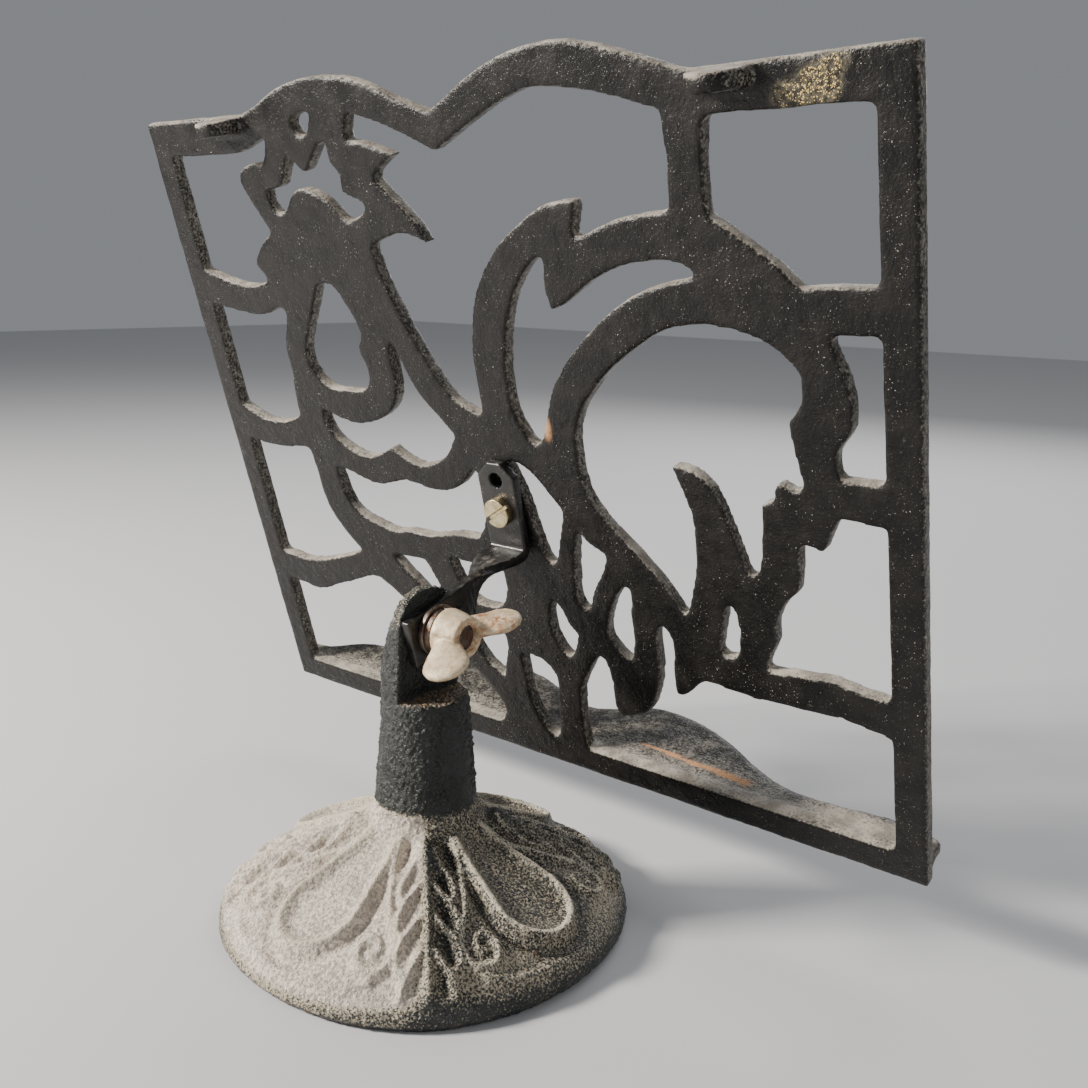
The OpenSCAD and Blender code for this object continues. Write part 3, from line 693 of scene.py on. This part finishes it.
# The ear's outside, as (height, half-width, reach of its outer side past the neck's axis), in mm
EAR = ((64, 12.9, 12.9), (70.5, 12.7, 12.7), (78, 12.6, 12.4), (83, 12.3, 11.3), (88, 12.0, 9.6),
       (92, 12.0, 7.9), (96, 11.0, 6.2), (99, 9.0, 4.9), (101, 6.6, 3.9), (102.1, 3.6, 3.0),
       (102.5, 1.2, 1.6))


def make_ear():
    """Half of the neck carried up past the pivot: flat inside, falling away to a thin rim outside."""
    table = np.array(EAR) * MM
    heights = np.concatenate([np.linspace(0.064, 0.099, 36), np.linspace(0.0995, 0.1025, 12)])
    count = 32
    rings = []
    for z in heights:
        half, reach = np.interp(z, table[:, 0], table[:, 1]), np.interp(z, table[:, 0], table[:, 2])
        arc = [math.pi * i / (count - 1) for i in range(count)]
        depth = reach - EAR_X - 1.0 * MM
        ring = [(EAR_X + 1.0 * MM + depth * math.sin(a) ** 0.8, -half * math.cos(a), z) for a in arc]
        ring += [(EAR_X, half * (1 - 2 * i / (count - 1)), z) for i in range(count)]
        rings.append(ring)
    size = 2 * count
    verts = [v for ring in rings for v in ring]
    faces = [tuple(range(size))[::-1], tuple((len(rings) - 1) * size + i for i in range(size))]
    for j in range(len(rings) - 1):
        for i in range(size):
            k = (i + 1) % size
            faces.append((j * size + i, j * size + k, (j + 1) * size + k, (j + 1) * size + i))
    return new_object("ear", verts, faces)


def box(name, low, high):
    corners = [(x, y, z) for x in (low[0], high[0]) for y in (low[1], high[1])
               for z in (low[2], high[2])]
    sides = [(0, 1, 3, 2), (4, 6, 7, 5), (0, 4, 5, 1), (2, 3, 7, 6), (0, 2, 6, 4), (1, 5, 7, 3)]
    return new_object(name, corners, sides)


def make_pedestal():
    turns = 540
    outer = smooth_line(DOME_EDGE, 150)
    inner = np.array([(r - WALL, max(z - 0.8 * WALL, 0.0)) for r, z in outer])[::-1]
    neck_end = (NECK_TOP_R, SHOULDER_Z - 0.6 * MM)
    core_top = SHOULDER_Z - 6 * MM
    foot = lathe(np.array([(inner[-1][0], 0.0), (FOOT_R, 0.0)]), turns)
    dome = lathe(outer, turns, relief=True)
    neck = lathe(np.array([outer[-1] * 0.5 + np.array(neck_end) * 0.5, neck_end,
                           (NECK_TOP_R - 0.8 * MM, SHOULDER_Z), (6 * MM, SHOULDER_Z - 0.3 * MM),
                           (0.05 * MM, SHOULDER_Z - 0.4 * MM), (0.05 * MM, core_top),
                           (NECK_TOP_R - WALL, core_top)]), turns)
    inside = lathe(inner[:-1], turns)
    body = skin_of("pedestal_body", foot + dome + neck + inside)
    ear = make_ear()
    pedestal = remeshed(joined("cast_pedestal", [body, ear]), 0.55 * MM, smooth=2, factor=0.45)
    roughened(pedestal, (6 * MM, 0.12 * MM), (2.0 * MM, 0.14 * MM))
    # The neck is coarser, apart from the ear's flat inner face
    co, normals = points_of(pedestal), normals_of(pedestal)
    coarse = 0.35 + 0.65 * step(co[:, 2], 28 * MM, 36 * MM) * step(normals[:, 0], -0.98, -0.9)
    grain = np.abs(field(co, 1.25 * MM, 3.7)) - 0.3
    set_points(pedestal, co + normals * (coarse * grain * 1.0 * MM)[:, None])
    axis = Vector((0, 0, PIVOT.z))
    cut(pedestal, cylinder("bore", BORE_R, axis - Vector((0.01, 0, 0)), axis + Vector((0.02, 0, 0))))
    cut(pedestal, box("pocket", (POCKET_X, -POCKET_HALF, PIVOT.z - POCKET_HALF),
                      (15 * MM, POCKET_HALF, PIVOT.z + POCKET_HALF)))
    co, normals = points_of(pedestal), normals_of(pedestal)
    angle, radius = np.arctan2(co[:, 1], co[:, 0]), np.hypot(co[:, 0], co[:, 1])
    _, crest_highlight, cavity_shade = dome_relief(angle, radius / MM)
    on_dome = step(normals[:, 2], -0.6, -0.2) * (1 - step(co[:, 2], 36 * MM, 40 * MM))
    blotch = 0.5 + 0.5 * field(co, 14 * MM, 2.0)
    small = 0.5 + 0.5 * field(co, 3 * MM, 4.0)
    # Dust lies on one side of the leaf at 133 degrees
    from_leaf = np.degrees(np.angle(np.exp(1j * (angle - math.radians(133)))))
    dusty_side = step(-from_leaf, -3, 6) * step(from_leaf, -165, -130)
    below_panel = step(radius, 51 * MM, 54 * MM) * (1 - step(radius, 57 * MM, 60 * MM))
    shaded = 1 - dusty_side
    dust = 0.42 + 0.44 * dusty_side + 0.12 * below_panel * shaded * blotch + 0.12 * (blotch - 0.5)
    # Painted shade: less dust, so a darker colour, in the dents and troughs, most on the darker side
    dust = dust - cavity_shade * (0.02 + 0.20 * shaded)
    dust = on_dome * dust * (1 - 0.5 * step(radius, 59 * MM, 61.6 * MM))
    neck_dust = step(co[:, 2], 30 * MM, 34 * MM) * (1 - step(co[:, 2], 88 * MM, 94 * MM))
    neck_dust = neck_dust * step(np.cos(angle - math.radians(95)), -0.1, 0.9) * 0.10
    # Dust, partly painted highlight: the ear's rim and outer side are painted pale as if lit
    ear_rim_dust_and_highlight = step(co[:, 2], 86 * MM, 96 * MM) * step(normals[:, 0], -0.5, -0.1) * 0.36
    paint(pedestal, "crest_highlight", np.clip(crest_highlight, 0, 1) * on_dome * (0.65 + 0.35 * small))
    shoulder = step(co[:, 2], SHOULDER_Z - 1.6 * MM, SHOULDER_Z - 0.6 * MM)
    shoulder = shoulder * step(normals[:, 2], 0.5, 0.9) * (1 - step(co[:, 2], 74 * MM, 76 * MM))
    shoulder_dust = shoulder * (0.12 + 0.5 * blotch)
    # The dust attribute also carries the painted shade in the dents and the ear rim's painted highlight
    paint(pedestal, "dust", np.maximum.reduce([dust, neck_dust, ear_rim_dust_and_highlight, shoulder_dust]))
    specks = step(small, 0.78, 0.92) * on_dome * step(radius, 46 * MM, 56 * MM) * 0.9
    foot_rust = (1 - step(co[:, 2], 0.5 * MM, 2.5 * MM)) * step(blotch, 0.4, 0.8) * 0.7
    paint(pedestal, "rust", np.maximum.reduce([shoulder * 0.6 * (1 - blotch), specks, foot_rust]))
    return finish_piece(pedestal, base_material(), "stand", "pedestal")


# ---------------------------------------------------------------- strap and fasteners


def make_strap():
    strap = remeshed(copy_of_node("tilt_strap", "twisted_strap"), 0.40 * MM, smooth=3)
    roughened(strap, (9 * MM, 0.06 * MM), (2 * MM, 0.03 * MM))
    normals = normals_of(strap)
    co = points_of(strap)
    # Scuffs, partly painted highlight: pale patches painted on the faces that point upwards
    edge = 0.35 * step(np.abs(field(co, 4 * MM, 6.0)), 0.15, 0.5) * step(normals[:, 2], 0.3, 0.8)
    paint(strap, "edge", edge)
    return finish_piece(strap, strap_material(), "easel", "tilt_strap")


def make_small_part(node, name, voxel, smooth, material, body, rust=0.3):
    part = remeshed(copy_of_node(node, name), voxel, smooth=smooth)
    co = points_of(part)
    paint(part, "rust", rust * (0.5 + 0.5 * field(co, 3 * MM, 1.0)))
    return finish_piece(part, material, body, node)


def ellipsoid(centre, size, turn):
    """One lump of a wing; size is in mm, along the wing, along the bolt and through the wing."""
    bm = bmesh.new()
    bmesh.ops.create_icosphere(bm, subdivisions=3, radius=MM)
    place = (Matrix.Translation(centre) @ Matrix.Rotation(math.radians(turn), 4, "X")
             @ Matrix.Diagonal((size[1], size[0], size[2], 1)))
    bm.transform(place)
    mesh = bpy.data.meshes.new("wing")
    bm.to_mesh(mesh)
    bm.free()
    obj = bpy.data.objects.new("wing", mesh)
    bpy.context.scene.collection.objects.link(obj)
    return obj


WING_TURNS = (166, 337)     # the wings' angles about the bolt, in degrees; the near one droops


def make_wing_nut(material):
    """A rough cast nut, made of rings for the hub and of lumps along its two wings."""
    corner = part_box("wing_nut")[1][0]                 # the nut's seat
    parts = []
    for i in range(16):                               # the hub tapers away from its seat
        start = Vector((corner - (0.15 + 0.46 * i) * MM, 0, PIVOT.z))
        radius = 7.4 - 1.45 * (i / 15) ** 1.2
        parts.append(cylinder("hub", radius * MM, start, start - Vector((1.5 * MM, 0, 0))))
    for turn in WING_TURNS:
        out = Vector((0, math.cos(math.radians(turn)), math.sin(math.radians(turn))))
        for i in range(9):
            t = i / 8
            reach, along = 3.5 + 8.2 * t ** 0.9, 4.6 + 5.5 * t ** 1.2
            size = (4.4 + 2.5 * t ** 1.5, 4.2 + 2.5 * t ** 1.5, 3.9 - 1.7 * t ** 0.7)
            centre = Vector((corner, 0, PIVOT.z)) + out * reach * MM - Vector((along * MM, 0, 0))
            parts.append(ellipsoid(centre, size, turn))
    nut = remeshed(joined("cast_wing_nut", parts), 0.28 * MM, smooth=14, factor=0.6)
    roughened(nut, (5 * MM, 0.16 * MM), (1.4 * MM, 0.07 * MM))
    cut(nut, cylinder("bore", BORE_R, (corner + 0.005, 0, PIVOT.z), (corner - 0.02, 0, PIVOT.z)))
    co, normals = points_of(nut), normals_of(nut)
    y, z = co[:, 1] - PIVOT.y, co[:, 2] - PIVOT.z
    from_axis = np.hypot(y, z)
    root = np.exp(-((y + 9 * MM) ** 2 + (z - 3.5 * MM) ** 2) / (5 * MM) ** 2)
    stain = 0.5 + 0.5 * field(co, 4 * MM, 9.0)
    near_bolt = 1 - step(from_axis, 2 * MM, 8 * MM)
    patches = 0.75 * step(stain, 0.62, 0.85)
    paint(nut, "rust", np.maximum.reduce([near_bolt, 1.5 * root * stain, patches]))
    seam = np.exp(-((z - 1.2 * MM - 0.5 * MM * stain) / (0.55 * MM)) ** 2) * step(y, 1 * MM, 4 * MM)
    # Painted shade: the faces that point downwards get the grime tone as if shaded, with real grime
    # along the seam
    paint(nut, "edge", np.maximum(step(-normals[:, 2], -0.1, 0.7), 1.3 * seam * step(stain, 0.15, 0.4)))
    return finish_piece(nut, material, "nut", "wing_nut")


# ---------------------------------------------------------------- the scene

make_camera()
make_lights()
make_floor()

steel = metal_material("washer_metal", (0.25, 0.22, 0.19), (0.11, 0.095, 0.085), (0.20, 0.08, 0.03),
                       0.50, 0.12)
brass = metal_material("screw_metal", (0.70, 0.60, 0.38), (0.42, 0.33, 0.17), (0.20, 0.14, 0.08),
                       0.34, 0.10)
bolt_steel = metal_material("bolt_metal", (0.20, 0.17, 0.15), (0.09, 0.07, 0.06), (0.16, 0.06, 0.025),
                            0.50, 0.12)
zinc = metal_material("nut_metal", (0.87, 0.72, 0.50), (0.60, 0.46, 0.29), (0.40, 0.15, 0.045),
                      0.50, 0.12, metallic=0.15, grime=(0.30, 0.22, 0.13))

make_plate()
make_pedestal()
make_strap()
make_small_part("strap_screw", "slotted_screw", 0.16 * MM, 3, brass, "easel")
make_small_part("pivot_bolt", "pivot_bolt_steel", 0.25 * MM, 3, bolt_steel, "stand",
                rust=0.8)
make_small_part("flat_washer", "flat_washer_steel", 0.18 * MM, 2, steel, "washers",
                rust=0.6)
make_small_part("lock_washer", "lock_washer_steel", 0.18 * MM, 2, steel, "washers",
                rust=0.8)
make_wing_nut(zinc)
